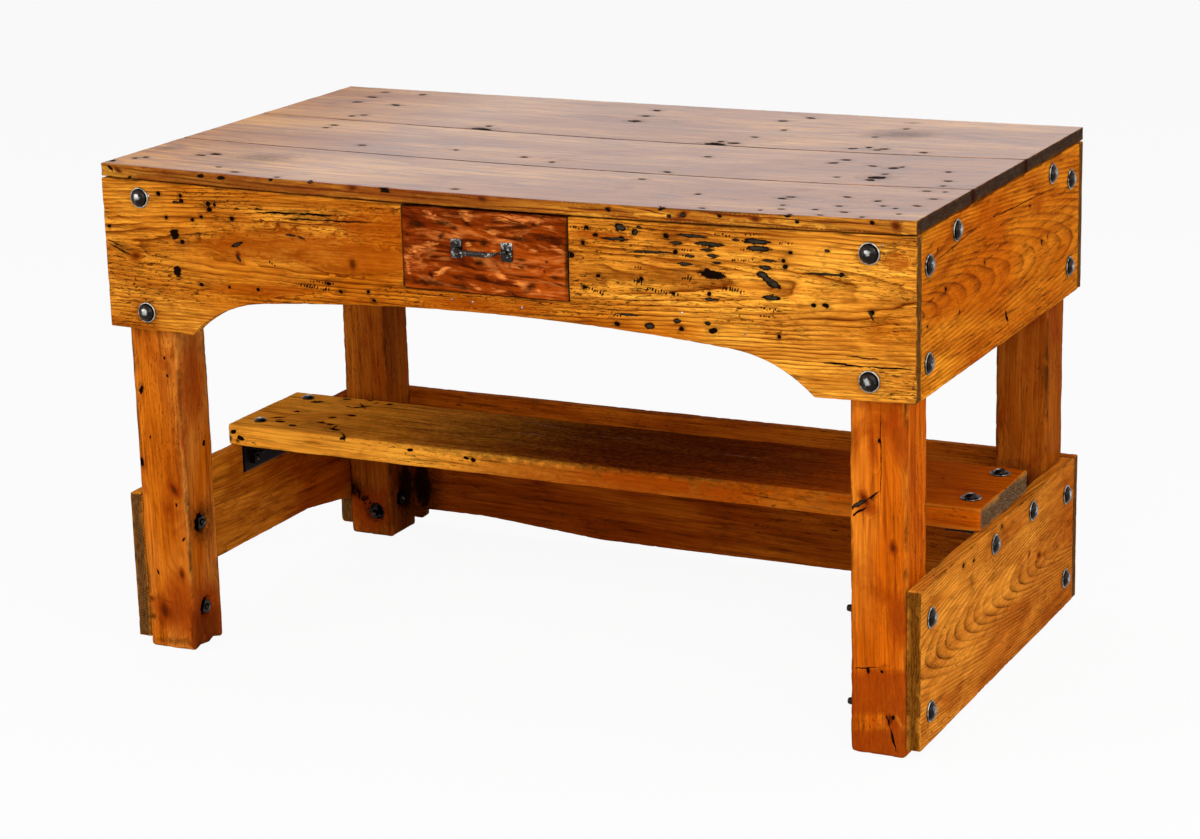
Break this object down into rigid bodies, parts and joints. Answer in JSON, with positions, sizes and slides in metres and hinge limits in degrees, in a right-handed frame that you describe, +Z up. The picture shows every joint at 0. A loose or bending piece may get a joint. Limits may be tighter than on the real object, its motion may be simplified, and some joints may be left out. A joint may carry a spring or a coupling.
{
  "type": "workbench",
  "caption": "Pine workbench on square posts, with an arched front apron, a small inset drawer, boards low on three sides and a foot shelf, held by dome-headed bolts.",
  "frame": {"origin": "on the floor, under the middle of the bench's bounding box, bolt heads and drawer pull included", "axes": "+X to the right along the bench's front, +Y from front to back, +Z up; the drawer opens towards -Y"},
  "size_m": [1.545, 0.9086, 0.905],
  "materials": {
    "worktop_wood": "pinkish tan old pine under a glossy varnish, with nail holes",
    "apron_wood": "amber old pine, glossy varnish, worm tracks and nail holes",
    "post_wood": "orange brown pine, glossy varnish",
    "lower_board_wood": "amber pine, satin to glossy varnish",
    "shelf_wood": "honey pine worn dark in the middle, varnished",
    "drawer_front_wood": "red brown wood with light and dark streaks, varnished",
    "drawer_box_wood": "plain pine, unfinished",
    "inner_wood": "plain pine, unfinished",
    "bolt_steel": "dark worn steel",
    "bracket_steel": "dark oxidised steel",
    "pull_steel": "worn bright steel"
  },
  "bodies": {
    "bench": {"top_plank_front": "worktop_wood", "top_plank_middle": "worktop_wood", "top_plank_rear": "worktop_wood", "front_apron": "apron_wood", "rear_apron": "apron_wood", "left_apron": "apron_wood", "right_apron": "apron_wood", "front_left_post": "post_wood", "front_right_post": "post_wood", "rear_left_post": "post_wood", "rear_right_post": "post_wood", "left_lower_board": "lower_board_wood", "right_lower_board": "lower_board_wood", "rear_lower_board": "lower_board_wood", "foot_shelf": "shelf_wood", "left_shelf_bracket": "bracket_steel", "right_shelf_bracket": "bracket_steel", "left_top_cleat": "inner_wood", "right_top_cleat": "inner_wood", "left_drawer_guide": "inner_wood", "right_drawer_guide": "inner_wood", "left_drawer_runner": "inner_wood", "right_drawer_runner": "inner_wood", "drawer_stops": "inner_wood", "front_apron_bolts": "bolt_steel", "front_apron_washers": "bolt_steel", "front_apron_nuts": "bolt_steel", "rear_apron_bolts": "bolt_steel", "rear_apron_washers": "bolt_steel", "rear_apron_nuts": "bolt_steel", "left_apron_bolts": "bolt_steel", "left_apron_washers": "bolt_steel", "left_apron_nuts": "bolt_steel", "right_apron_bolts": "bolt_steel", "right_apron_washers": "bolt_steel", "right_apron_nuts": "bolt_steel", "left_lower_board_bolts": "bolt_steel", "left_lower_board_washers": "bolt_steel", "left_lower_board_nuts": "bolt_steel", "right_lower_board_bolts": "bolt_steel", "right_lower_board_washers": "bolt_steel", "right_lower_board_nuts": "bolt_steel", "rear_lower_board_bolts": "bolt_steel", "rear_lower_board_washers": "bolt_steel", "rear_lower_board_nuts": "bolt_steel", "foot_shelf_bolts": "bolt_steel", "foot_shelf_washers": "bolt_steel", "foot_shelf_nuts": "bolt_steel"},
    "drawer": {"drawer_front": "drawer_front_wood", "left_drawer_side": "drawer_box_wood", "right_drawer_side": "drawer_box_wood", "drawer_back": "drawer_box_wood", "drawer_bottom": "drawer_box_wood", "drawer_pull": "pull_steel", "drawer_pull_screws": "pull_steel"}
  },
  "joints": [
    {"name": "drawer_slide", "type": "slide", "parent": "bench", "child": "drawer", "axis": [0, -1, 0], "range_m": [0, 0.3]}
  ]
}
